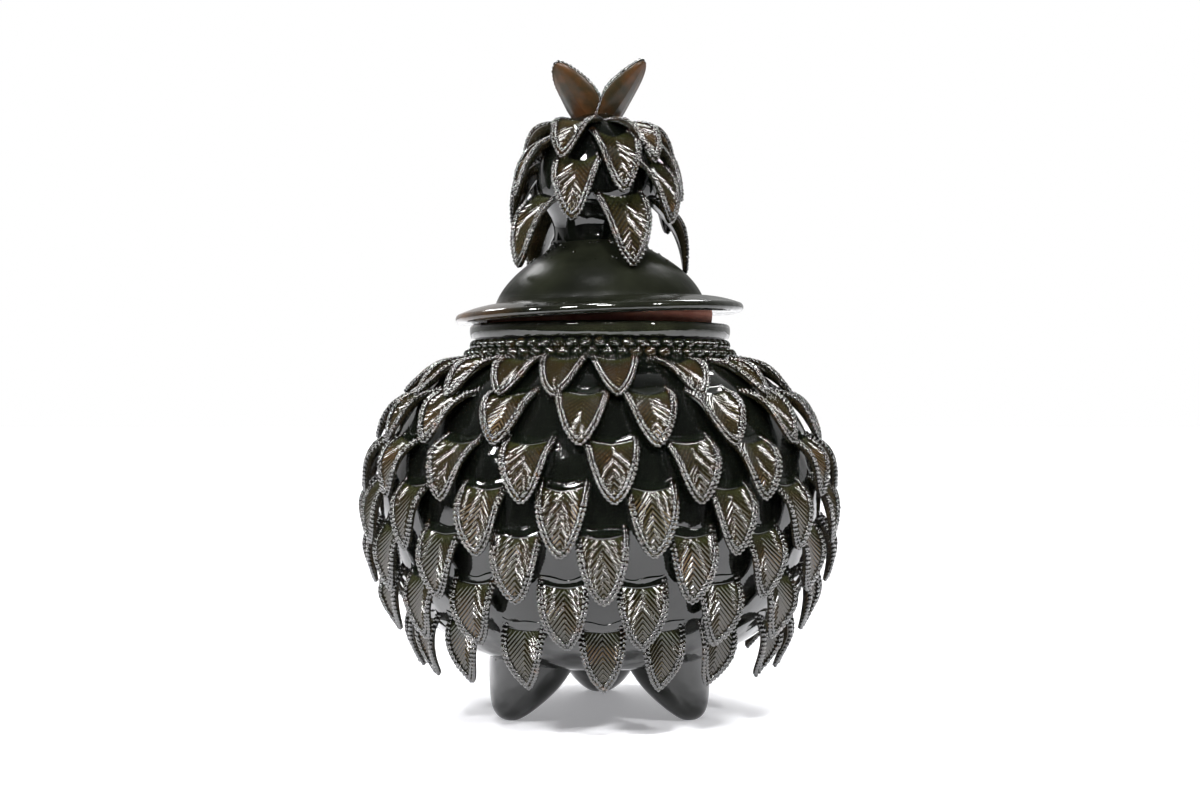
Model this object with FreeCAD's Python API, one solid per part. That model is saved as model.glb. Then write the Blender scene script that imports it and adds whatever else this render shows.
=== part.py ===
"""Glazed clay jar in the shape of a pineapple: a globular pot on three feet, with a loose lid.

Units are millimetres. +Z is up, the origin is on the surface that the jar stands on, under the
middle of the pot. -Y is the front. Every clay piece that the potter made by hand is its own solid.
"""

import FreeCAD
import Part
import math
import os
import random

from FreeCAD import Matrix, Placement, Rotation, Vector

# ---- driving dimensions ----
AXIS = Vector(0, 0, 1)
ORIGIN = Vector(0, 0, 0)

# pot
WALL = 6.0                 # thickness of the pot's wall
BASE_Z = 27.0              # underside of the belly
BELLY_R, BELLY_Z = 120.5, 115.0
NECK_R, NECK_TOP_Z = 68.5, 203.3
RIM_OUT_R, RIM_IN_R = 71.3, 65.8
RIM_TOP_Z = 211.0
RIM_ROUND = 2.2            # rounding of the rim's top corners

# feet
FOOT_COUNT = 3
FOOT_BACK_AZIMUTH = 90.0   # degrees from +X, so one foot stands at the back
FOOT_TIP_R = 55.0          # distance of a foot's tip from the middle

# collar of pressed clay pellets under the rim
PELLET_R, PELLET_H = 3.35, 3.0
PELLET_DIMPLE_R = 1.6
PELLET_COUNT = 60
COLLAR_Z = (199.4, 194.7)

# lid
LID_TILT = 2.5             # the lid sits askew, up on the +X side
KNOB_TILT = -1.0           # the knob leans the other way
LID_UNDER_Z = 214.4        # flat underside of the brim, before the tilt
BRIM_R, BRIM_ROLL_R = 79.0, 2.7
LID_CREASE_R, LID_CREASE_Z = 57.0, 224.3
LID_WALL = 5.0
STEM_R, STEM_BORE_R, STEM_Z = 25.0, 17.0, 256.0
STEM_TUCK = 2.0            # extra stem, trimmed flush on the dome
VENT_R = 5.0
FLANGE_OUT_R, FLANGE_IN_R, FLANGE_DEPTH, FLANGE_TAPER = 62.0, 57.0, 11.0, 1.4
BULB_R, BULB_Z, BULB_TOP_Z = 33.5, 291.0, 327.3

# leaves, all pressed in one mould and bent by hand
LEAF_THICK = 2.8
LEAF_FULL = 2.2            # how far down the blade keeps its width
LEAF_CUP = 5.0             # how far the edges stand over the middle
LEAF_LIP = 0.8             # the tip's flick outwards
LEAF_SUNK = 0.24           # share of the blade behind its root, in the wall, before it is trimmed
# number of leaves, root height, tip radius, tip height, width, bulge, sharpness of the tip,
# azimuth of the first leaf from the front, and how far the four leaves around it were misplaced
BODY_ROWS = (
    (20, 190.2, 106.5, 174.5, 23.0, 2.9, 0.62, -12.0, (1.4, -1.4, -1.0, 1.0)),
    (18, 173.0, 122.0, 150.0, 25.5, 4.0, 0.62, -5.5, (0.4, 0.8, -1.2, -1.6)),
    (18, 149.5, 129.0, 122.0, 25.5, 4.6, 0.60, 2.5, (0.2, 0.4, -0.5, -2.9)),
    (18, 127.5, 128.5, 96.0, 25.0, 4.2, 0.60, -8.8, (1.2, 0.5, 0.4, -0.3)),
    (18, 105.0, 122.5, 73.0, 25.0, 3.8, 0.62, 0.5, (0.4, 0.0, 0.8, 0.6)),
    (18, 81.0, 112.5, 50.0, 25.0, 3.8, 0.68, -9.5, (-2.9, 0.8, -0.5, -0.3)),
    (18, 58.0, 96.0, 27.0, 22.5, 3.4, 0.80, -1.0, (-0.4, 1.6, -1.6, -3.9)),
)
# polar angle of the root on the bulb, tip radius, tip height, width, bulge, share of the width
# that the root has, azimuths of the leaves
FINIAL_ROWS = (
    (35.0, 43.0, 299.5, 24.5, 6.0, 0.8, (-117, -42, 10, 80, 168)),
    (56.0, 47.0, 280.5, 24.5, 5.5, 0.95, (-72, -160, 138, 62, -6)),
    (80.0, 48.0, 265.5, 26.0, 4.8, 1.0, (-107, -34, 30, 100, 164)),
    (110.0, 50.5, 241.5, 27.5, 5.2, 1.0, (-147, -68, 4, 66, 134)),
)
# of each upright leaf: azimuth, distance of its foot from the axis, length, lean, swing, twist
CROWN = {
    "crown_leaf_left": (-150.0, 5.0, 35.0, 37.0, 0.0, 30.0),
    "crown_leaf_right": (-20.0, 4.0, 37.0, 33.0, 0.0, -18.0),
}
CROWN_WIDTH = 23.0

HAND = random.Random(7)    # the unevenness of hand work, the same on every run


# ---- helpers ----
def spline(points, start=None, end=None):
    """A smooth edge through (radius, height) points in the XZ plane."""
    curve = Part.BSplineCurve()
    path = [Vector(r, 0, z) for r, z in points]
    if start:
        curve.interpolate(path, InitialTangent=Vector(start[0], 0, start[1]),
                          FinalTangent=Vector(end[0], 0, end[1]))
    else:
        curve.interpolate(path)
    return curve


def inset(curve, depth, first, last, count):
    """Points at depth on the left of a profile curve, between two shares of its length."""
    low, high = curve.FirstParameter, curve.LastParameter
    found = []
    for i in range(count):
        at = low + (high - low) * (first + (last - first) * i / (count - 1))
        point, along = curve.value(at), curve.tangent(at)[0]
        side = Vector(-along.z, 0, along.x)
        found.append((point.x + side.x * depth, point.z + side.z * depth))
    return found


def line(a, b):
    return Part.LineSegment(Vector(a[0], 0, a[1]), Vector(b[0], 0, b[1])).toShape()


def arc(a, mid, b):
    return Part.Arc(*(Vector(r, 0, z) for r, z in (a, mid, b))).toShape()


def turned(edges):
    """The solid that a closed profile in the XZ plane sweeps about the axis."""
    wire = Part.Wire(Part.__sortEdges__(edges))
    return Part.Face(wire).revolve(ORIGIN, AXIS, 360).Solids[0]


def curve_ends(curve):
    a, b = curve.value(curve.FirstParameter), curve.value(curve.LastParameter)
    return (a.x, a.z), (b.x, b.z)


def about(azimuth, axis=AXIS, centre=ORIGIN):
    return Placement(ORIGIN, Rotation(axis, azimuth), centre)


def placed(shape, placement):
    moved = shape.copy()
    moved.Placement = placement.multiply(moved.Placement)
    return moved


def tilted(shape):
    """A piece of the lid, set askew on the rim."""
    return placed(shape, about(-LID_TILT, Vector(0, 1, 0), Vector(0, 0, RIM_TOP_Z)))


def leaning(shape):
    """A piece of the knob, which leans from the middle of the lid's top."""
    lean = LID_TILT - KNOB_TILT
    return tilted(placed(shape, about(lean, Vector(0, 1, 0), Vector(0, 0, STEM_Z))))


# ---- pot ----
def pot_profile():
    """The outside of the belly, from the middle of its underside to the top of the neck."""
    points = [(0, BASE_Z), (45, BASE_Z + 1.5), (83, 42), (108.5, 70), (BELLY_R, BELLY_Z),
              (114.5, 148), (101, 171.2), (83, 187.4), (73.8, 192.8), (69.8, 197.4),
              (NECK_R, NECK_TOP_Z)]
    return spline(points, (1, 0), (0, 1))


POT_CURVE = pot_profile()
POT_SAMPLES = [POT_CURVE.value(POT_CURVE.FirstParameter + i / 600.0 * (
    POT_CURVE.LastParameter - POT_CURVE.FirstParameter)) for i in range(601)]


def wall_radius(height):
    """Radius of the pot's outside at a height above its widest underside."""
    return min(POT_SAMPLES, key=lambda p: abs(p.z - height)).x


def wall_normal(height):
    """Outward direction of the pot's outside at a height, as (radial, vertical)."""
    i = min(range(1, 600), key=lambda k: abs(POT_SAMPLES[k].z - height))
    along = (POT_SAMPLES[i + 1] - POT_SAMPLES[i - 1]).normalize()
    return along.z, -along.x


def pot_shell():
    """The hollow belly and neck."""
    inner_points = inset(POT_CURVE, WALL, 0.12, 0.93, 9)
    inner_top = (NECK_R - WALL + 1.0, NECK_TOP_Z)
    inner = spline([(0, BASE_Z + WALL)] + inner_points + [inner_top], (1, 0), (0, 1))
    (low, top), (inner_low, inner_high) = curve_ends(POT_CURVE), curve_ends(inner)
    return turned([POT_CURVE.toShape(), line(top, inner_high), inner.toShape(),
                   line(inner_low, low)])


def pot_core():
    """Everything inside the pot's outer surface, to trim what is pressed onto it.

    Pieces are trimmed at azimuth 0 and turned afterwards, so the seam is put at the far side.
    """
    low, top = curve_ends(POT_CURVE)
    core = turned([POT_CURVE.toShape(), line(top, (0, top[1])), line((0, top[1]), low)])
    return placed(core, about(180))


def rim_ring():
    """The plain rolled band that was luted onto the neck."""
    turn = RIM_ROUND * (1 - math.sqrt(0.5))
    corner_out, corner_in = RIM_OUT_R - RIM_ROUND, RIM_IN_R + RIM_ROUND
    below = RIM_TOP_Z - RIM_ROUND
    return turned([
        line((RIM_IN_R, NECK_TOP_Z), (RIM_OUT_R - 0.8, NECK_TOP_Z)),
        arc((RIM_OUT_R - 0.8, NECK_TOP_Z), (RIM_OUT_R, NECK_TOP_Z + 2.6), (RIM_OUT_R, below)),
        arc((RIM_OUT_R, below), (RIM_OUT_R - turn, RIM_TOP_Z - turn), (corner_out, RIM_TOP_Z)),
        line((corner_out, RIM_TOP_Z), (corner_in, RIM_TOP_Z)),
        arc((corner_in, RIM_TOP_Z), (RIM_IN_R + turn, RIM_TOP_Z - turn), (RIM_IN_R, below)),
        line((RIM_IN_R, below), (RIM_IN_R, NECK_TOP_Z)),
    ])


def foot(core, spread):
    """A pulled foot: broad where it joins the belly, rounded to a small flat tip."""
    # height, distance from the middle, half sizes along and across the radius
    stations = ((0.0, 0.0, 4.0, 5.0), (1.6, -0.3, 6.8, 8.2), (5.0, -1.8, 10.4, 12.3),
                (11.0, -5.2, 14.8, 17.0), (20.0, -9.6, 19.4, 21.6), (31.0, -13.0, 22.6, 25.2),
                (46.0, -14.5, 24.0, 27.0))
    wires = []
    for height, shift, along, across in stations:
        major, minor = across * spread, along
        ring = Part.Ellipse(Vector(FOOT_TIP_R + shift, 0, height) + Vector(0, major, 0),
                            Vector(FOOT_TIP_R + shift + minor, 0, height),
                            Vector(FOOT_TIP_R + shift, 0, height))
        wires.append(Part.Wire(ring.toShape()))
    return Part.makeLoft(wires, True, False).cut(core).Solids[0]


def feet(core):
    spreads = {"foot_back": 1.0, "foot_front_left": 1.06, "foot_front_right": 0.94}
    made = {}
    for i, (name, spread) in enumerate(spreads.items()):
        azimuth = FOOT_BACK_AZIMUTH + i * 360.0 / FOOT_COUNT
        made[name] = placed(foot(core, spread), about(azimuth))
    return made


# ---- pellets of the collar ----
def pellet(core, height, size):
    """A ball of clay pressed on with a round point, which leaves a dimple."""
    r = PELLET_R * size
    ball = Part.makeSphere(r, Vector(0, 0, PELLET_H - PELLET_R))
    press = Part.makeSphere(PELLET_DIMPLE_R, Vector(0, 0, r + PELLET_DIMPLE_R - 1.0))
    out_r, out_z = wall_normal(height)
    turn = Rotation(Vector(0, 0, 1), Vector(out_r, 0, out_z))
    at = Placement(Vector(wall_radius(height), 0, height), turn)
    return placed(ball.cut(press), at).cut(core).Solids[0]


def collar_row(core, row):
    pitch = 360.0 / PELLET_COUNT
    balls = [pellet(core, COLLAR_Z[row], size) for size in (0.95, 0.98, 1.01)]
    found = []
    for i in range(PELLET_COUNT):
        azimuth = (i + 0.5 * row) * pitch + HAND.uniform(-0.15, 0.15)
        found.append(placed(HAND.choice(balls), about(azimuth)))
    return Part.makeCompound(found)


# ---- leaves ----
def leaf_half_width(share, width, root, point):
    """Half the blade's width at a share of its length: broad, then drawn to a soft point."""
    share = max(0.0, share)
    neck = 1 - (1 - root) * max(0.0, 1 - share / 0.4) ** 2
    return width / 2 * neck * (1 - share ** LEAF_FULL) ** point


def blade_section(height, half, thick, ring):
    """One closed section of a blade: hollow side, rounded edge, back, rounded edge."""
    def at(x, y):
        return Vector(x, y, height)

    hollow, back = Part.BSplineCurve(), Part.BSplineCurve()
    stops = [i / (len(ring) - 1) for i in range(len(ring))]
    hollow.interpolate(Points=[at(x, y) for x, y in ring], Parameters=stops)
    back.interpolate(Points=[at(x, y - thick) for x, y in reversed(ring)], Parameters=stops)
    low, rim, roll = ring[0][1], thick / 2, 0.35 * thick
    right = Part.Arc(at(half, low), at(half + roll, low - rim), at(half, low - thick))
    left = Part.Arc(at(-half, low - thick), at(-half - roll, low - rim), at(-half, low))
    return Part.Wire([edge.toShape() for edge in (hollow, right, back, left)])


def leaf_blade(length, width, bulge, point, root=1.0):
    """A spoon-shaped blade that bends over: root at the origin, hollow side towards +Y.

    Its tip is along +Z, and a share of it runs on behind the root.
    """
    wires = []
    for share in (-LEAF_SUNK, -0.08, 0.08, 0.25, 0.42, 0.58, 0.72, 0.83, 0.91, 0.965, 0.99):
        half = max(1.0, leaf_half_width(share, width, root, point))
        middle = bulge * 4 * share * (1 - share) + LEAF_LIP * max(0.0, share) ** 4
        open_share = min(1.0, max(0.0, share / 0.55))
        depth = LEAF_CUP * (0.25 + 0.75 * math.sin(math.pi / 2 * open_share))
        ring = []
        for t in (-1, -0.72, -0.38, 0, 0.38, 0.72, 1):
            ring.append((t * half, middle + depth * (t * half / (width / 2)) ** 2))
        wires.append(blade_section(share * length, half, LEAF_THICK, ring))
    return Part.makeLoft(wires, True, False).Solids[0]


def leaf_placement(root, tip):
    """Puts a blade's length in the XZ plane, hollow side up: outwards if it hangs."""
    along = Vector(tip[0] - root[0], 0, tip[1] - root[1]).normalize()
    out = Vector(-along.z, 0, along.x)
    across = out.cross(along)
    turn = Matrix(across.x, out.x, along.x, root[0],
                  across.y, out.y, along.y, 0,
                  across.z, out.z, along.z, root[1],
                  0, 0, 0, 1)
    return Placement(turn)


def uneven(roll, twist, nod):
    """A small turn of a blade about its own root, as no two were pressed on alike."""
    turn = Rotation(Vector(0, 1, 0), HAND.uniform(-roll, roll))
    turn = turn.multiply(Rotation(Vector(0, 0, 1), HAND.uniform(-twist, twist)))
    turn = turn.multiply(Rotation(Vector(1, 0, 0), HAND.uniform(-nod, nod)))
    return Placement(ORIGIN, turn)


def pressed_on(blade, core, placement, azimuth):
    """The blade in its place, with what would lie inside the wall trimmed off."""
    kept = max(placed(blade, placement).cut(core).Solids, key=lambda s: s.Volume)
    return placed(kept, about(azimuth))


def fitted(leaf, others):
    """A leaf pressed on after the others: it gives way where they would overlap."""
    for other in others:
        if leaf.BoundBox.intersect(other.BoundBox) and leaf.common(other).Volume > 0.3:
            leaf = max(leaf.cut(other).Solids, key=lambda s: s.Volume)
    return leaf


def body_row(core, index):
    count, height, tip_r, tip_z, width, bulge, point, azimuth, off = BODY_ROWS[index]
    root, tip = (wall_radius(height), height), (tip_r, tip_z)
    blade = leaf_blade(math.dist(root, tip), width, bulge, point)
    pitch = 360.0 / count
    found = []
    for i in range(-1, count - 1):
        nudge = off[i + 1] if i < 3 else HAND.uniform(-1.2, 1.2)
        at = -90 + azimuth + i * pitch + nudge
        place = leaf_placement(root, tip).multiply(uneven(3.0, 4.0, 1.5))
        found.append(fitted(pressed_on(blade, core, place, at), found[-1:] + found[:1]))
    return Part.makeCompound(found)


# ---- lid ----
def lid_profile():
    """The outside of the dome, from the stem to the crease where the brim starts."""
    return spline([(STEM_R, STEM_Z), (27.8, 252.4), (33.5, 248.6), (43.5, 241.5), (51.5, 233.5),
                   (LID_CREASE_R, LID_CREASE_Z)])


def lid_shell():
    """The hollow dome with its brim, open underneath."""
    dome = lid_profile()
    edge_z = LID_UNDER_Z + BRIM_ROLL_R
    roll = BRIM_R - BRIM_ROLL_R
    brim_top = (roll + 0.6, edge_z + BRIM_ROLL_R)
    inner = spline([(VENT_R, 250.8), (17, 249.4), (29.5, 243.9), (39.5, 236.6), (47, 228.5),
                    (51.5, 220), (52.5, LID_UNDER_Z)])
    return tilted(turned([
        line((VENT_R, STEM_Z), (STEM_R, STEM_Z)),
        dome.toShape(),
        arc((LID_CREASE_R, LID_CREASE_Z), (66.5, 223.0), brim_top),
        arc(brim_top, (BRIM_R, edge_z), (roll, LID_UNDER_Z)),
        line((roll, LID_UNDER_Z), (52.5, LID_UNDER_Z)),
        inner.toShape(),
        line((VENT_R, 250.8), (VENT_R, STEM_Z)),
    ]))


def lid_flange():
    """The unglazed ring under the brim that keeps the lid in the mouth."""
    low = LID_UNDER_Z - FLANGE_DEPTH
    return tilted(turned([
        line((FLANGE_IN_R, LID_UNDER_Z), (FLANGE_OUT_R, LID_UNDER_Z)),
        line((FLANGE_OUT_R, LID_UNDER_Z), (FLANGE_OUT_R - FLANGE_TAPER, low + 1.5)),
        arc((FLANGE_OUT_R - FLANGE_TAPER, low + 1.5), (FLANGE_OUT_R - 2.0, low + 0.4),
            (FLANGE_OUT_R - 3.2, low)),
        line((FLANGE_OUT_R - 3.2, low), (FLANGE_IN_R, low)),
        line((FLANGE_IN_R, low), (FLANGE_IN_R, LID_UNDER_Z)),
    ]))


def bulb_profile():
    return spline([(STEM_R, STEM_Z), (23.3, 260.5), (24.2, 266), (31.6, 279), (BULB_R, BULB_Z),
                   (30.4, 305), (22.5, 317), (11.5, 325), (0, BULB_TOP_Z)])


def finial_bulb(shell):
    """The hollow knob of the lid, on its stem, luted on the dome."""
    outer = bulb_profile()
    foot_z = STEM_Z - STEM_TUCK
    inner = spline([(STEM_BORE_R, STEM_Z), (17.4, 262)] + inset(outer, LID_WALL, 0.36, 0.88, 6)
                   + [(0, BULB_TOP_Z - LID_WALL)])
    (low, top), (inner_low, inner_top) = curve_ends(outer), curve_ends(inner)
    knob = turned([outer.toShape(), line(top, inner_top), inner.toShape(),
                   line(inner_low, (STEM_BORE_R, foot_z)),
                   line((STEM_BORE_R, foot_z), (STEM_R, foot_z)), line((STEM_R, foot_z), low)])
    return leaning(knob).cut(shell).Solids[0]


def knob_core():
    """Everything inside the knob's outer surface, to trim the leaves."""
    bulb = bulb_profile()
    low, top = curve_ends(bulb)
    return placed(turned([bulb.toShape(), line(top, (0, low[1])), line((0, low[1]), low)]),
                  about(180))


def finial_leaves(core):
    """The leaves that hang round the knob, one node each."""
    made = {}
    for row, (polar, tip_r, tip_z, width, bulge, narrow, azimuths) in enumerate(FINIAL_ROWS, 1):
        angle = math.radians(polar)
        root = (BULB_R * math.sin(angle), BULB_Z + (BULB_TOP_Z - BULB_Z) * math.cos(angle))
        blade = leaf_blade(math.dist(root, (tip_r, tip_z)), width, bulge, 0.62, narrow)
        for n, azimuth in enumerate(azimuths, start=1):
            place = leaf_placement(root, (tip_r, tip_z)).multiply(uneven(2.5, 4.0, 1.5))
            made[f"finial_leaf_{row}_{n}"] = pressed_on(blade, core, place, azimuth)
    return made


def crown_leaves(core):
    """The two leaves that stand up on the knob and lean apart."""
    made = {}
    for name, (azimuth, foot_r, length, lean, swing, twist) in CROWN.items():
        angle = math.radians(lean)
        blade = leaf_blade(length, CROWN_WIDTH, -1.6, 0.55, root=0.75)
        root = (foot_r, BULB_TOP_Z - 2.0)
        tip = (root[0] + length * math.sin(angle), root[1] + length * math.cos(angle))
        turn = Rotation(Vector(0, 1, 0), swing).multiply(Rotation(Vector(0, 0, 1), twist))
        place = leaf_placement(root, tip).multiply(Placement(ORIGIN, turn))
        made[name] = pressed_on(blade, core, place, azimuth)
    return made


def apart(leaves):
    """The leaves of the knob in the order they were pressed on."""
    done = {}
    for name, leaf in leaves.items():
        done[name] = fitted(leaf, done.values())
    return {name: leaning(leaf) for name, leaf in done.items()}


# ---- all nodes ----
def build():
    core, top_core = pot_core(), knob_core()
    nodes = {"pot_shell": pot_shell(), "rim_ring": rim_ring()}
    nodes.update(feet(core))
    nodes["collar_pellets_upper"] = collar_row(core, 0)
    nodes["collar_pellets_lower"] = collar_row(core, 1)
    for index in range(len(BODY_ROWS)):
        nodes[f"leaf_row_{index + 1}"] = body_row(core, index)
    nodes["lid_shell"] = lid_shell()
    nodes["lid_flange"] = lid_flange()
    nodes["finial_bulb"] = finial_bulb(nodes["lid_shell"])
    nodes.update(apart({**finial_leaves(top_core), **crown_leaves(top_core)}))
    return nodes


def export(nodes):
    os.makedirs("parts", exist_ok=True)
    for name in os.listdir("parts"):
        os.remove(os.path.join("parts", name))
    for name, shape in nodes.items():
        assert shape.isValid(), name
        shape.exportStep(f"parts/{name}.step")


if __name__ == "__main__":
    export(build())
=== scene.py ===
"""Looks of the glazed clay jar with its leaves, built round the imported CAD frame. Metres, +Z up."""

import math
import random

import bpy
import numpy as np
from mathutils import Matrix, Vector


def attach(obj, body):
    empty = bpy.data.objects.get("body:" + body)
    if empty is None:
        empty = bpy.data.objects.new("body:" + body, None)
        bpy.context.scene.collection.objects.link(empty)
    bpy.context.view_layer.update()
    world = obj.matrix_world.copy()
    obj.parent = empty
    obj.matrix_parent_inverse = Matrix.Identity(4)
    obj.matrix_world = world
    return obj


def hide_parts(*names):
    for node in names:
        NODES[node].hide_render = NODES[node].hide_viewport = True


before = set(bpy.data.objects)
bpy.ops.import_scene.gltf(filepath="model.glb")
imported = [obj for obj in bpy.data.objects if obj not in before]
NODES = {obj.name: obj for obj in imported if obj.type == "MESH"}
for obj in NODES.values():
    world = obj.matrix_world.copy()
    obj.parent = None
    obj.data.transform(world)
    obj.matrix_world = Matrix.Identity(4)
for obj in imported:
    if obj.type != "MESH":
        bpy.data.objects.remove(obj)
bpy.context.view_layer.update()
MM = 0.001

# ---- driving values ----
# camera: level, in front of the jar, as high as the middle of the belly's upper half
CAMERA_DISTANCE = 0.917
CAMERA_HEIGHT = 0.178
CAMERA_LENS = 50.0
CAMERA_SHIFT_Y = -0.0125

# leaf: the mould's shape, along its length in shares of the blade, and its pressed detail
LEAF_THICK = 2.8 * MM
LEAF_CUP = 5.0 * MM          # how far the edges stand over the middle
LEAF_LIP = 0.8 * MM
LEAF_FULL = 2.2              # how far down the blade keeps its width
WIDEST_LEAF = 38 * MM        # anything wider is two leaves that touch
VEIN_COUNT = 20              # counted from where the outermost vein at the root would start
VEIN_STEPS = (-1.0, -0.4, -0.05, 0.0, -0.3)     # groove, flank, crown, crown, flank
VEIN_ROWS = VEIN_COUNT * len(VEIN_STEPS)
VEIN_DEPTH = 0.85 * MM
VEIN_SLOPE = 1.3            # how far a vein runs down for each step outwards
VEIN_COLUMNS = 9
BLADE_START = -0.2           # the modelled blade starts this share behind its root, in the wall
PLAIN_STRIP = 2.0 * MM       # along the edge, where the veins run out
BACK_COLUMNS = (1.0, 0.55, 0.0)

# beaded edge: two rows of beads side by side (distance in from the edge, height over the blade)
BEAD_ROWS = ((0.0 * MM, -0.75 * MM), (1.45 * MM, 0.15 * MM))
BEAD_R = 1.2 * MM
BEAD_PITCH = 2.4 * MM
BEAD_SIDES = 8
BEAD_PROFILE = ((0.0, 0.3), (0.2, 0.84), (0.5, 1.06), (0.8, 0.84))
BEAD_START = -0.1            # share of the blade where the beads begin, inside the wall

# width and bulge of the blade in mm, sharpness of its tip, share of the width at its root
BODY_LEAVES = {
    "leaf_row_1": (23.0, 2.9, 0.62, 1.0), "leaf_row_2": (25.5, 4.0, 0.62, 1.0),
    "leaf_row_3": (25.5, 4.6, 0.60, 1.0), "leaf_row_4": (25.0, 4.2, 0.60, 1.0),
    "leaf_row_5": (25.0, 3.8, 0.62, 1.0), "leaf_row_6": (25.0, 3.8, 0.68, 1.0),
    "leaf_row_7": (22.5, 3.4, 0.80, 1.0),
}
KNOB_LEAVES = {"1": (24.5, 6.0, 0.62, 0.8), "2": (24.5, 5.5, 0.62, 0.95),
               "3": (26.0, 4.8, 0.62, 1.0), "4": (27.5, 5.2, 0.62, 1.0)}
CROWN_LEAF = (23.0, -1.6, 0.55, 0.75)

# slip pressed into the corner between a leaf's root and the wall
SLIP_SIZE = 2.6 * MM
SLIP_ALONG, SLIP_ACROSS = 21, 7      # points along the root line and across the hollow corner
SLIP_REACH = 0.07                    # share of the blade that it covers
SLIP_LIFT = 0.05 * MM                # how far it stands proud where it ends
SLIP_MARK = -0.3                     # its value of "share", by which the glaze knows it

# crumbs of glaze on the lid: how many, and between which heights
CRUMB_COUNT = 90
CRUMB_HEIGHTS = (0.244, 0.262)
CRUMB_RINGS, CRUMB_SIDES = 5, 8

HAND = random.Random(11)


# ---- meshes ----
def make_object(name, points, faces, body, material, attributes=None):
    mesh = bpy.data.meshes.new(name)
    mesh.from_pydata([tuple(p) for p in points], [], faces)
    mesh.shade_smooth()
    for key, values in (attributes or {}).items():
        layer = mesh.attributes.new(key, "FLOAT", "POINT")
        layer.data.foreach_set("value", np.asarray(values, np.float32))
    mesh.materials.append(material)
    made = bpy.data.objects.new(name, mesh)
    bpy.context.scene.collection.objects.link(made)
    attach(made, body)
    return made


def corner_points(node):
    """The mesh points of a CAD node."""
    points = np.empty(len(NODES[node].data.vertices) * 3)
    NODES[node].data.vertices.foreach_get("co", points)
    return points.reshape(-1, 3)


def solids_of(node):
    """The points of each leaf of a CAD node; two that touch are taken apart between them."""
    mesh = NODES[node].data
    points = corner_points(node)
    edges = np.empty(len(mesh.edges) * 2, np.int64)
    mesh.edges.foreach_get("vertices", edges)
    _, same = np.unique(np.round(points * 1e6).astype(np.int64), axis=0, return_inverse=True)
    same = same.ravel()
    ends = same[edges.reshape(-1, 2)]
    label = np.arange(same.max() + 1)
    while True:
        low = np.minimum(label[ends[:, 0]], label[ends[:, 1]])
        new = label.copy()
        np.minimum.at(new, ends[:, 0], low)
        np.minimum.at(new, ends[:, 1], low)
        new = new[new]
        if (new == label).all():
            break
        label = new
    label = label[same]
    found = []
    for part in (points[label == k] for k in np.unique(label)):
        middle = part.mean(0)
        side = np.array([-middle[1], middle[0], 0]) / math.hypot(middle[0], middle[1])
        t = (part - middle) @ side
        if t.max() - t.min() > WIDEST_LEAF:
            found += [part[t < 0], part[t >= 0]]
        else:
            found.append(part)
    return found


def unit(v):
    return v / np.linalg.norm(v)


class Leaf:
    """Where a CAD leaf lies: its base line from root to tip, its width and its hollow side."""

    def __init__(self, points, width, bulge, point, narrow, upright=False):
        self.width, self.bulge, self.point, self.narrow = width * MM, bulge * MM, point, narrow
        centre = points.mean(0)
        radial = unit(np.array([centre[0], centre[1], 0.0]))
        ahead, outward = np.array([0.0, 0, -1]), radial
        side = np.cross(radial, ahead)
        if upright:
            spread = np.linalg.eigh(np.cov((points - centre).T))[1]
            ahead = spread[:, 2] * np.sign(spread[2, 2])
            side = spread[:, 1]
            outward = np.array([0, 0, 1.0]) - radial
        reach = points @ ahead
        tip = points[reach > reach.max() - 0.8 * MM].mean(0)
        corners = []
        for half in ((points - centre) @ side < 0, (points - centre) @ side > 0):
            away = np.linalg.norm(points[half] - tip, axis=1)
            corners.append(points[half][away > away.max() - 0.6 * MM].mean(0))
        middle = (corners[0] + corners[1]) / 2
        span = tip - middle
        axis = unit(span)
        across = corners[1] - corners[0]
        across = unit(across - axis * (across @ axis))
        normal = np.cross(across, axis)
        if normal @ outward < 0:
            normal, across = -normal, -across
        rise_root = self.rise(0.01) + self.cup(0.01) - LEAF_THICK / 2
        rise_tip = self.rise(0.99) - LEAF_THICK / 2
        angle = math.asin((rise_tip - rise_root) / np.linalg.norm(span))
        self.along = axis * math.cos(angle) - normal * math.sin(angle)
        self.normal = normal * math.cos(angle) + axis * math.sin(angle)
        self.across = np.cross(self.along, self.normal)
        self.length = np.linalg.norm(span) * math.cos(angle) / 0.98
        self.root = middle - self.normal * rise_root - self.along * 0.01 * self.length
        self.sway = [HAND.uniform(-1, 1) for _ in range(6)]

    def half_width(self, share):
        s = np.clip(np.asarray(share, float), 0, 1)
        neck = 1 - (1 - self.narrow) * np.clip(1 - s / 0.4, 0, 1) ** 2
        return self.width / 2 * neck * (1 - s ** LEAF_FULL) ** self.point

    def cup(self, share):
        s = np.clip(np.asarray(share, float) / 0.55, 0, 1)
        return LEAF_CUP * (0.25 + 0.75 * np.sin(np.pi / 2 * s))

    def rise(self, share):
        s = np.asarray(share, float)
        return self.bulge * 4 * s * (1 - s) + LEAF_LIP * np.clip(s, 0, 1) ** 4

    def height(self, x, share):
        """Height of the hollow side over the base line, with the unevenness of hand work."""
        a = self.sway
        t = x / (self.width / 2)
        grow = np.clip(share * 2, 0, 1)
        curl = 1 + (0.16 * a[0] * np.sign(t) + 0.1 * a[1]) * grow
        wave = 0.4 * MM * np.sin(5.0 * share + 3 * a[2] + 2.2 * t * a[3]) * grow
        twist = 0.6 * MM * a[4] * t * share
        return self.rise(share) + self.cup(share) * t ** 2 * curl + wave + twist

    def place(self, x, y, share):
        x, y, z = (np.asarray(v, float)[..., None] for v in (x, y, share * self.length))
        return self.root + x * self.across + y * self.normal + z * self.along


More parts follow.
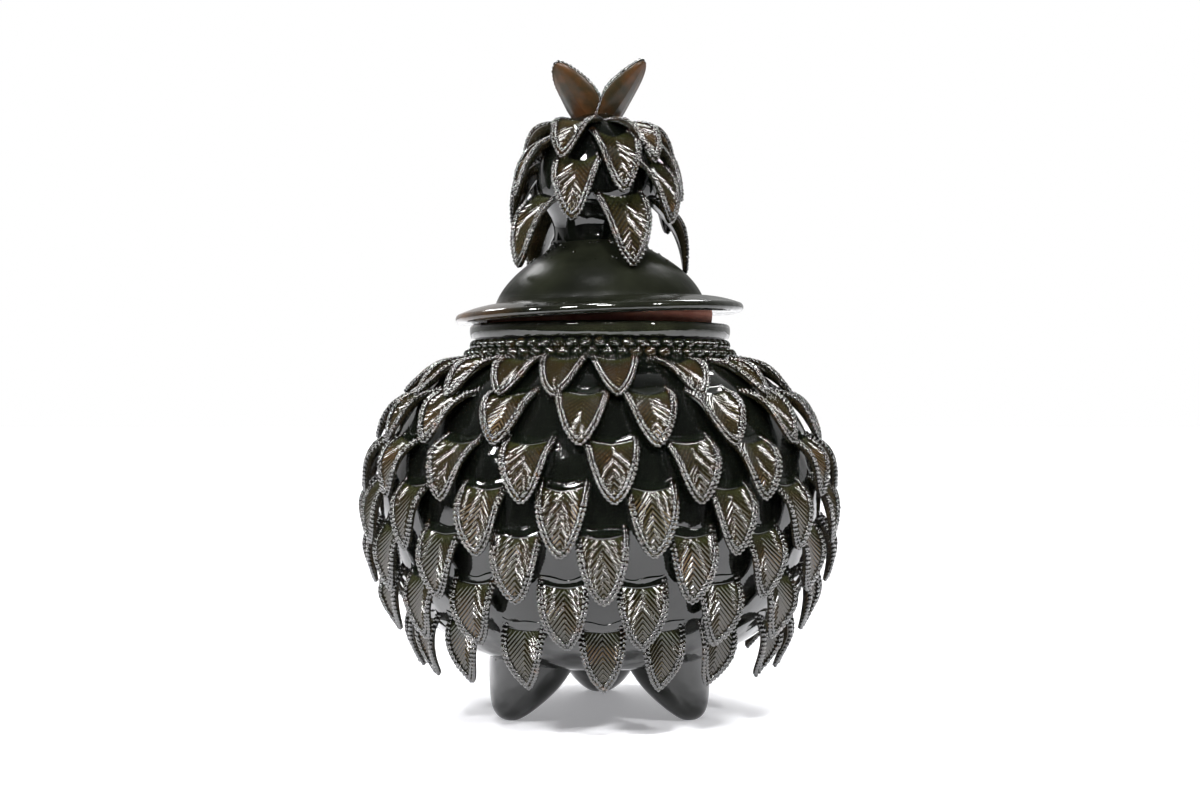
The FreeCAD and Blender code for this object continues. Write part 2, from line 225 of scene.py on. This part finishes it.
def vein_rows(leaf):
    """Rows of the blade that follow its veins: start share on the midrib, inner and outer x."""
    slope = VEIN_SLOPE / leaf.length
    first = BLADE_START - slope * leaf.width / 2 + 0.01
    start = first + (0.985 - first) * np.arange(VEIN_ROWS + 1) / VEIN_ROWS
    inner = np.clip((BLADE_START - start) / slope, 0, None)
    low, high = inner.copy(), np.full_like(start, leaf.width)
    for _ in range(30):
        mid = (low + high) / 2
        inside = leaf.half_width(start + slope * mid) > mid
        low, high = np.where(inside, mid, low), np.where(inside, high, mid)
    return start, inner, np.maximum(low, inner + 0.05 * MM), slope


def blade(leaf):
    """The pressed blade: veined hollow side, plain back, closed round its edge."""
    start, inner, outer, slope = vein_rows(leaf)
    count = len(start)
    t = np.linspace(0, 1, VEIN_COLUMNS + 1)
    x = inner[:, None] + (outer - inner)[:, None] * t
    share = start[:, None] + slope * x
    step = np.array([VEIN_STEPS[j % len(VEIN_STEPS)] for j in range(count)])[:, None]
    clear = np.clip((outer[:, None] - x) / PLAIN_STRIP - 0.25, 0, 1)
    clear = clear * np.clip((share - 0.06) / 0.16, 0, 1) * np.clip((1.0 - share) / 0.06, 0, 1)
    groove = step * clear
    back_x = inner[:, None] + (outer - inner)[:, None] * np.array(BACK_COLUMNS)
    back_share = start[:, None] + slope * back_x
    thick = LEAF_THICK * (1 - 0.12 * np.clip(back_share, 0, 1))
    points, groove_out, back_out, share_out, faces = [], [], [], [], []
    columns = VEIN_COLUMNS + 1 + len(BACK_COLUMNS)
    for sign in (1, -1):
        front = leaf.place(sign * x, leaf.height(sign * x, share) + groove * VEIN_DEPTH, share)
        rear = leaf.place(sign * back_x, leaf.height(sign * back_x, back_share) - thick,
                          back_share)
        grid = np.concatenate([front, rear], axis=1)
        base = len(points) * count * columns
        points.append(grid.reshape(-1, 3))
        groove_out.append(np.concatenate([-groove, np.zeros_like(back_x)], 1).ravel())
        back_out.append(np.concatenate([np.zeros_like(x), np.ones_like(back_x)], 1).ravel())
        share_out.append(np.concatenate([share, back_share], 1).ravel())
        j, i = np.meshgrid(np.arange(count - 1), np.arange(columns - 1), indexing="ij")
        a = base + j * columns + i
        quad = np.stack([a, a + columns, a + columns + 1, a + 1], -1).reshape(-1, 4)
        if sign < 0:
            quad = quad[:, ::-1]
        faces.append(quad)
    return (np.concatenate(points), np.concatenate(faces), np.concatenate(groove_out),
            np.concatenate(back_out), np.concatenate(share_out))


def bead_row(leaf, inset, lift):
    """One row of touching beads along the blade's edge."""
    share = np.concatenate([np.linspace(BEAD_START, 0.9, 60), np.linspace(0.905, 1.0, 60)])
    end = 1.0 - inset / leaf.length
    share = share * end
    half = np.maximum(leaf.half_width(share / end) - 0.3 * MM - inset, 0)
    x = np.concatenate([-half, half[::-1][1:]])
    share = np.concatenate([share, share[::-1][1:]])
    line = leaf.place(x, leaf.height(x, share) + lift, share)
    run = np.concatenate([[0], np.cumsum(np.linalg.norm(np.diff(line, axis=0), axis=1))])
    count = round(run[-1] / BEAD_PITCH)
    pitch = run[-1] / count
    stops, radii = [], []
    for k in range(count):
        size = BEAD_R * HAND.uniform(0.86, 1.1)
        shift = HAND.uniform(-0.08, 0.08)
        for at, share_r in BEAD_PROFILE:
            stops.append((k + at + shift * math.sin(math.pi * at)) * pitch)
            radii.append(size * share_r)
    stops.append(run[-1])
    radii.append(BEAD_R * 0.4)
    stops, radii = np.array(stops), np.array(radii)
    centre = np.stack([np.interp(stops, run, line[:, k]) for k in range(3)], -1)
    tangent = np.gradient(centre, axis=0)
    tangent /= np.linalg.norm(tangent, axis=1)[:, None]
    up = leaf.normal - tangent * (tangent @ leaf.normal)[:, None]
    up /= np.linalg.norm(up, axis=1)[:, None]
    side = np.cross(tangent, up)
    turn = 2 * np.pi * np.arange(BEAD_SIDES) / BEAD_SIDES
    ring = np.cos(turn)[None, :, None] * side[:, None] + np.sin(turn)[None, :, None] * up[:, None]
    points = (centre[:, None] + radii[:, None, None] * ring).reshape(-1, 3)
    j, i = np.meshgrid(np.arange(len(stops) - 1), np.arange(BEAD_SIDES), indexing="ij")
    a, b = j * BEAD_SIDES + i, j * BEAD_SIDES + (i + 1) % BEAD_SIDES
    faces = np.stack([a, b, b + BEAD_SIDES, a + BEAD_SIDES], -1).reshape(-1, 4)
    notch = np.repeat(1 - radii / radii.max(), BEAD_SIDES)
    return points, faces, notch


def edge_coil(leaf):
    """The two rows of beads round the blade's edge."""
    rows = [bead_row(leaf, inset, lift) for inset, lift in BEAD_ROWS]
    points = np.concatenate([row[0] for row in rows])
    faces = np.concatenate([rows[0][1], rows[1][1] + len(rows[0][0])])
    return points, faces, np.concatenate([row[2] for row in rows])


def wall_table(node):
    """Heights and outer radii of a turned CAD node."""
    points = corner_points(node)
    radius = np.hypot(points[:, 0], points[:, 1])
    steps = np.round(points[:, 2] / (1.5 * MM)).astype(int)
    levels = np.unique(steps)
    outer = np.array([radius[steps == k].max() for k in levels])
    height = np.array([points[steps == k][radius[steps == k].argmax(), 2] for k in levels])
    return height, outer


def slip_fillet(leaf, wall):
    """The hollow corner of slip along the root line, from the wall onto the blade."""
    x = np.linspace(-0.5, 0.5, SLIP_ALONG) * leaf.width * 0.99
    low, high = np.full_like(x, -0.2), np.full_like(x, 0.35)
    for _ in range(18):
        mid = (low + high) / 2
        at = leaf.place(x, leaf.height(x, mid), mid)
        outside = np.hypot(at[:, 0], at[:, 1]) > np.interp(at[:, 2], *wall)
        low, high = np.where(outside, low, mid), np.where(outside, mid, high)
    corner = leaf.place(x, leaf.height(x, mid), mid)
    end = mid + SLIP_REACH
    on_blade = leaf.place(x, leaf.height(x, end) + SLIP_LIFT, end)
    radial = corner * [1, 1, 0] / np.hypot(corner[:, 0], corner[:, 1])[:, None]
    run = np.linspace(0, 1, SLIP_ALONG)
    size = SLIP_SIZE * (1 + 0.25 * np.sin(9 * run + 4 * leaf.sway[5]))
    top = corner[:, 2] + size
    on_wall = radial * (np.interp(top, *wall) + SLIP_LIFT)[:, None]
    on_wall[:, 2] = top
    t = np.linspace(0, 1, SLIP_ACROSS)[None, :, None]
    bend = corner[:, None] * 0.75 + (on_wall + on_blade)[:, None] * 0.125
    strip = (1 - t) ** 2 * on_wall[:, None] + 2 * t * (1 - t) * bend + t ** 2 * on_blade[:, None]
    strip = np.concatenate([strip, corner[:, None] - radial[:, None] * 1.0 * MM], 1)
    ring = SLIP_ACROSS + 1
    j, i = np.meshgrid(np.arange(SLIP_ALONG - 1), np.arange(ring), indexing="ij")
    a, b = j * ring + i, j * ring + (i + 1) % ring
    faces = np.stack([a, a + ring, b + ring, b], -1).reshape(-1, 4)
    return strip.reshape(-1, 3), faces


def leaf_mesh(leaf, wall=None):
    """Points, faces and attributes of a whole leaf, with slip where it meets the wall."""
    points, faces, groove, back, share = blade(leaf)
    beads, bead_faces, notch = edge_coil(leaf)
    if wall:
        slip, slip_faces = slip_fillet(leaf, wall)
        faces = np.concatenate([faces, slip_faces + len(points)])
        points = np.concatenate([points, slip])
        groove = np.concatenate([groove, np.zeros(len(slip))])
        back = np.concatenate([back, np.zeros(len(slip))])
        share = np.concatenate([share, np.full(len(slip), SLIP_MARK)])
    return {
        "points": np.concatenate([points, beads]),
        "faces": np.concatenate([faces, bead_faces + len(points)]),
        "groove": np.concatenate([groove, notch]),
        "back": np.concatenate([back, np.zeros(len(beads))]),
        "share": np.concatenate([share, np.full(len(beads), 0.5)]),
        "bead": np.concatenate([np.zeros(len(points)), np.ones(len(beads))]),
        "tone": np.full(len(points) + len(beads), HAND.random()),
    }


def leaf_piece(node, leaves, body, material, wall=None):
    """One piece for all the leaves of a CAD node."""
    parts, offset, faces = [leaf_mesh(leaf, wall) for leaf in leaves], 0, []
    for part in parts:
        faces.extend((part["faces"] + offset).tolist())
        offset += len(part["points"])
    keys = ("groove", "back", "share", "bead", "tone")
    attributes = {key: np.concatenate([part[key] for part in parts]) for key in keys}
    made = make_object(f"{node}_pressed", np.concatenate([part["points"] for part in parts]),
                       faces, body, material, attributes)
    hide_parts(node)
    return made


# ---- materials ----
class Nodes:
    """A short way to write a node material."""

    def __init__(self, name):
        self.material = bpy.data.materials.new(name)
        self.material.use_nodes = True
        self.tree = self.material.node_tree
        self.shader = self.tree.nodes["Principled BSDF"]
        self.place = self.add("ShaderNodeTexCoord").outputs["Object"]

    def add(self, kind, **values):
        node = self.tree.nodes.new(kind)
        for key, value in values.items():
            setattr(node, key, value)
        return node

    def link(self, source, target):
        self.tree.links.new(source, target)

    def set(self, **values):
        for key, value in values.items():
            self.shader.inputs[key.replace("_", " ")].default_value = value

    def attribute(self, name):
        return self.add("ShaderNodeAttribute", attribute_name=name).outputs["Fac"]

    def noise(self, scale, detail=3.0, rough=0.55):
        node = self.add("ShaderNodeTexNoise")
        node.inputs["Scale"].default_value = scale
        node.inputs["Detail"].default_value = detail
        node.inputs["Roughness"].default_value = rough
        self.link(self.place, node.inputs["Vector"])
        return node.outputs["Fac"]

    def span(self, source, low, high, to_low=0.0, to_high=1.0):
        node = self.add("ShaderNodeMapRange")
        node.interpolation_type = "SMOOTHSTEP"
        self.link(source, node.inputs["Value"])
        for key, value in (("From Min", low), ("From Max", high),
                           ("To Min", to_low), ("To Max", to_high)):
            node.inputs[key].default_value = value
        return node.outputs["Result"]

    def mix(self, share, a, b):
        node = self.add("ShaderNodeMix", data_type="RGBA")
        self.put(share, node.inputs[0])
        self.put(a, node.inputs[6])
        self.put(b, node.inputs[7])
        return node.outputs[2]

    def mix_value(self, share, a, b):
        node = self.add("ShaderNodeMix", data_type="FLOAT")
        self.put(share, node.inputs[0])
        self.put(a, node.inputs[2])
        self.put(b, node.inputs[3])
        return node.outputs[0]

    def math(self, operation, a, b=0.0):
        node = self.add("ShaderNodeMath", operation=operation)
        self.put(a, node.inputs[0])
        self.put(b, node.inputs[1])
        return node.outputs[0]

    def put(self, value, socket):
        if isinstance(value, bpy.types.NodeSocket):
            self.link(value, socket)
        elif isinstance(value, tuple):
            socket.default_value = (*value, 1.0)
        else:
            socket.default_value = value

    def bump(self, *layers):
        """Bump from (height, distance) layers, one on the other."""
        normal = None
        for height, distance in layers:
            node = self.add("ShaderNodeBump")
            node.inputs["Strength"].default_value = 1.0
            node.inputs["Distance"].default_value = distance
            self.link(height, node.inputs["Height"])
            if normal is not None:
                self.link(normal, node.inputs["Normal"])
            normal = node.outputs["Normal"]
        self.link(normal, self.shader.inputs["Normal"])


def wall_glaze():
    """Thick, almost black green glaze, slightly wavy from the throwing."""
    n = Nodes("wall_glaze")
    n.set(IOR=1.52)
    pool = n.span(n.noise(14.0), 0.35, 0.7)
    n.link(n.mix(pool, (0.0020, 0.0023, 0.0019), (0.0036, 0.0044, 0.0030)),
           n.shader.inputs["Base Color"])
    n.link(n.span(n.noise(60.0), 0.3, 0.8, 0.03, 0.07), n.shader.inputs["Roughness"])
    n.bump((n.noise(38.0, 2.0), 0.0012), (n.noise(420.0, 2.0), 0.00003))
    return n.material


def rim_glaze():
    """Green glaze where it runs thinner, round the mouth."""
    n = Nodes("rim_glaze")
    n.set(IOR=1.52)
    pool = n.span(n.noise(22.0), 0.35, 0.7)
    green = n.mix(pool, (0.0060, 0.0068, 0.0040), (0.0150, 0.0165, 0.0085))
    n.link(green, n.shader.inputs["Base Color"])
    n.link(n.span(n.noise(90.0), 0.3, 0.8, 0.04, 0.1), n.shader.inputs["Roughness"])
    n.bump((n.noise(55.0, 2.0), 0.0006), (n.noise(500.0, 2.0), 0.00003))
    return n.material


def lid_glaze():
    """The lid's glaze: glossy on the brim's roll, duller over the dome, brown to one side."""
    n = Nodes("lid_glaze")
    n.set(IOR=1.5)
    pool = n.span(n.noise(22.0), 0.35, 0.7)
    green = n.mix(pool, (0.0040, 0.0045, 0.0030), (0.0095, 0.0105, 0.0065))
    axes = n.add("ShaderNodeSeparateXYZ")
    n.link(n.place, axes.inputs[0])
    to_side = n.span(axes.outputs["X"], -0.035, -0.082)
    on_brim = n.span(axes.outputs["Z"], 0.226, 0.218)
    brown = n.math("MULTIPLY", to_side, on_brim)
    brown = n.math("MULTIPLY", brown, n.span(n.noise(40.0), 0.2, 0.6))
    n.link(n.mix(brown, green, (0.055, 0.028, 0.011)), n.shader.inputs["Base Color"])
    over = n.span(axes.outputs["Z"], 0.217, 0.228)
    n.link(n.mix_value(over, 0.05, 0.33), n.shader.inputs["Roughness"])
    n.link(n.mix_value(over, 0.5, 0.03), n.shader.inputs["Specular IOR Level"])
    n.bump((n.noise(55.0, 2.0), 0.0006), (n.noise(500.0, 2.0), 0.00005))
    return n.material


def leaf_glaze(name="leaf_glaze", thin=(0.075, 0.036, 0.014), under=(0.014, 0.013, 0.007),
               under_thin=(0.034, 0.022, 0.010), under_rough=0.12, under_gloss=0.5):
    """Olive glaze over red clay: dark in the grooves, brown where it has run thin."""
    n = Nodes(name)
    groove, bead, share = n.attribute("groove"), n.attribute("bead"), n.attribute("share")
    back = n.attribute("back")
    patch = n.span(n.noise(70.0, 4.0), 0.35, 0.8)
    tone = n.math("ADD", n.math("MULTIPLY", n.attribute("tone"), 0.5), 0.1)
    lower = n.mix(n.span(n.noise(25.0), 0.3, 0.7), (0.014, 0.0125, 0.006), (0.026, 0.021, 0.009))
    body = n.mix(n.math("MULTIPLY", patch, tone), lower, thin)
    body = n.mix(n.span(share, 0.10, 0.36), (0.020, 0.0215, 0.0085), body)
    body = n.mix(n.span(groove, 0.15, 0.8), body, (0.003, 0.0032, 0.002))
    slip = n.mix(n.span(share, SLIP_MARK + 0.01, BLADE_START - 0.01), (0.003, 0.004, 0.0025), body)
    worn = n.span(n.noise(150.0, 2.0), 0.56, 0.8)
    coil = n.mix(worn, (0.005, 0.0052, 0.003), thin)
    coil = n.mix(n.span(groove, 0.1, 0.4), coil, (0.0008, 0.0008, 0.0006))
    front = n.mix(bead, slip, coil)
    n.link(n.mix(back, front, n.mix(patch, under, under_thin)), n.shader.inputs["Base Color"])
    rough = n.span(n.noise(110.0, 3.0), 0.3, 0.8, 0.03, 0.09)
    rough = n.mix_value(bead, rough, 0.02)
    n.link(n.mix_value(bead, 1.6, 1.9), n.shader.inputs["IOR"])
    n.link(n.mix_value(back, 0.5, under_gloss), n.shader.inputs["Specular IOR Level"])
    n.link(n.mix_value(back, rough, under_rough), n.shader.inputs["Roughness"])
    n.bump((n.noise(240.0, 3.0), 0.0001), (n.noise(800.0, 2.0), 0.00004))
    return n.material


def bare_clay():
    """Unglazed fired red clay."""
    n = Nodes("bare_clay")
    clay = n.mix(n.span(n.noise(60.0), 0.3, 0.7), (0.28, 0.095, 0.06), (0.38, 0.15, 0.10))
    n.link(clay, n.shader.inputs["Base Color"])
    n.set(Roughness=0.85)
    n.bump((n.noise(900.0, 3.0), 0.0002))
    return n.material


def collar_glaze():
    """Dark glaze over the pellets, a little brown in scattered patches."""
    n = Nodes("collar_glaze")
    n.set(IOR=1.65, Roughness=0.04)
    patch = n.span(n.noise(120.0, 3.0), 0.5, 0.8)
    n.link(n.mix(patch, (0.006, 0.0075, 0.004), (0.035, 0.022, 0.009)),
           n.shader.inputs["Base Color"])
    n.bump((n.noise(330.0, 2.0), 0.0002), (n.noise(900.0, 2.0), 0.00005))
    return n.material


# ---- build ----
WALL, RIM, LID = wall_glaze(), rim_glaze(), lid_glaze()
LEAF = leaf_glaze()
CROWN = leaf_glaze("crown_glaze", under=(0.016, 0.013, 0.006), under_thin=(0.075, 0.029, 0.009),
                   under_rough=0.3, under_gloss=0.12)
CLAY, COLLAR = bare_clay(), collar_glaze()

CAD_MATERIALS = {
    "pot_shell": WALL, "rim_ring": RIM, "foot_back": WALL, "foot_front_left": WALL,
    "foot_front_right": WALL, "collar_pellets_upper": COLLAR, "collar_pellets_lower": COLLAR,
    "lid_shell": LID, "lid_flange": CLAY, "finial_bulb": WALL,
}


def dress_cad_nodes():
    for name, material in CAD_MATERIALS.items():
        mesh = NODES[name].data
        mesh.materials.clear()
        mesh.materials.append(material)


def build_crumbs():
    """Small crumbs of clay and glaze left on the lid round the foot of the knob."""
    ground = corner_points("lid_shell")
    reach = np.hypot(ground[:, 0], ground[:, 1])
    outer = reach > np.interp(ground[:, 2], *wall_table("lid_shell")) - 2.5 * MM
    ground = ground[outer & (ground[:, 2] > CRUMB_HEIGHTS[0]) & (ground[:, 2] < CRUMB_HEIGHTS[1])]
    points, faces, offset = [], [], 0
    rings, sides = CRUMB_RINGS, CRUMB_SIDES
    for _ in range(CRUMB_COUNT):
        middle = ground[HAND.randrange(len(ground))]
        size = HAND.uniform(0.6, 1.3) * MM
        a = np.linspace(0.02, math.pi - 0.02, rings)[:, None]
        b = np.linspace(0, 2 * math.pi, sides, endpoint=False)[None]
        ball = np.stack([np.sin(a) * np.cos(b), np.sin(a) * np.sin(b), np.cos(a) + 0 * b], -1)
        ball = ball * [size, size * HAND.uniform(0.7, 1.3), size * HAND.uniform(0.6, 0.9)]
        points.append((middle + ball).reshape(-1, 3))
        for j in range(rings - 1):
            for i in range(sides):
                k, after = offset + j * sides, (i + 1) % sides
                faces.append((k + i, k + sides + i, k + sides + after, k + after))
        faces.append(tuple(offset + i for i in range(sides)))
        faces.append(tuple(offset + (rings - 1) * sides + i for i in reversed(range(sides))))
        offset += rings * sides
    make_object("lid_crumbs", np.concatenate(points), faces, "lid", COLLAR)


def build_leaves():
    wall = wall_table("pot_shell")
    for node, shape in BODY_LEAVES.items():
        leaves = [Leaf(points, *shape) for points in solids_of(node)]
        leaf_piece(node, leaves, "pot", LEAF, wall)
    for node in sorted(NODES):
        if node.startswith("finial_leaf"):
            leaf = Leaf(solids_of(node)[0], *KNOB_LEAVES[node.split("_")[2]])
            leaf_piece(node, [leaf], "lid", LEAF)
        elif node.startswith("crown_leaf"):
            leaf = Leaf(solids_of(node)[0], *CROWN_LEAF, upright=True)
            leaf_piece(node, [leaf], "lid", CROWN)


# ---- studio ----
def build_floor():
    """A plain pale floor; in front it ends close by, so that the glaze mirrors a dark room."""
    mesh = bpy.data.meshes.new("floor")
    side, front = 6.0, -0.5
    corners = [(-side, front, 0), (side, front, 0), (side, side, 0), (-side, side, 0)]
    mesh.from_pydata(corners, [], [(0, 1, 2, 3)])
    floor = bpy.data.objects.new("floor", mesh)
    bpy.context.scene.collection.objects.link(floor)
    n = Nodes("floor_white")
    n.set(Roughness=0.6, Emission_Strength=0.27)
    n.shader.inputs["Emission Color"].default_value = (0.97, 0.97, 1.0, 1.0)
    n.link(n.mix(n.noise(3.0), (0.80, 0.80, 0.82), (0.83, 0.83, 0.85)),
           n.shader.inputs["Base Color"])
    mesh.materials.append(n.material)


def add_light(name, azimuth, elevation, distance, width, height, power, aim=(0, 0, 0.15),
              mirrored=True):
    """A soft box; azimuth 0 is in front of the jar and positive to its +X side."""
    a, e = math.radians(azimuth), math.radians(elevation)
    data = bpy.data.lights.new(name, "AREA")
    data.shape, data.size, data.size_y, data.energy = "RECTANGLE", width, height, power
    light = bpy.data.objects.new(name, data)
    spot = Vector((math.sin(a) * math.cos(e), -math.cos(a) * math.cos(e), math.sin(e)))
    light.location = Vector(aim) + spot * distance
    light.rotation_euler = spot.to_track_quat("Z", "Y").to_euler()
    light.visible_glossy = mirrored
    bpy.context.scene.collection.objects.link(light)


def build_studio():
    add_light("box_left", -58, 30, 1.9, 0.13, 0.22, 20)
    add_light("box_left_near", -27, 36, 1.9, 0.18, 0.18, 26)
    add_light("box_front", 5, 42, 1.9, 0.26, 0.17, 32)
    add_light("box_right", 50, 32, 1.9, 0.13, 0.22, 20)
    add_light("top", -15, 76, 1.7, 0.25, 0.2, 16)
    add_light("back_left", 150, 48, 2.2, 0.4, 0.3, 16)
    add_light("back_right", -145, 40, 2.2, 0.4, 0.3, 16)
    add_light("wash", 180, 58, 5.0, 6.0, 4.0, 520, aim=(0, 3.2, 0), mirrored=False)
    world = bpy.data.worlds.new("studio")
    bpy.context.scene.world = world
    world.use_nodes = True
    tree = world.node_tree
    back = tree.nodes["Background"]
    back.inputs["Color"].default_value = (1, 1, 1, 1)
    place = tree.nodes.new("ShaderNodeTexCoord")
    split = tree.nodes.new("ShaderNodeSeparateXYZ")
    tree.links.new(place.outputs["Generated"], split.inputs[0])
    behind = tree.nodes.new("ShaderNodeMapRange")
    behind.interpolation_type = "SMOOTHSTEP"
    for key, value in (("From Min", -0.2), ("From Max", 0.75), ("To Min", 0.05), ("To Max", 0.6)):
        behind.inputs[key].default_value = value
    tree.links.new(split.outputs["Y"], behind.inputs["Value"])
    seen = tree.nodes.new("ShaderNodeLightPath")
    pick = tree.nodes.new("ShaderNodeMix")
    pick.data_type = "FLOAT"
    tree.links.new(seen.outputs["Is Camera Ray"], pick.inputs[0])
    tree.links.new(behind.outputs["Result"], pick.inputs[2])
    pick.inputs[3].default_value = 1.0
    tree.links.new(pick.outputs[0], back.inputs["Strength"])


def build_camera():
    data = bpy.data.cameras.new("camera")
    data.lens, data.sensor_width, data.shift_y = CAMERA_LENS, 36.0, CAMERA_SHIFT_Y
    camera = bpy.data.objects.new("camera", data)
    camera.location = (0, -CAMERA_DISTANCE, CAMERA_HEIGHT)
    camera.rotation_euler = (math.pi / 2, 0, 0)
    bpy.context.scene.collection.objects.link(camera)
    bpy.context.scene.camera = camera


build_camera()
build_studio()
build_floor()
dress_cad_nodes()
build_leaves()
build_crumbs()
bpy.context.scene.view_settings.view_transform = "Standard"
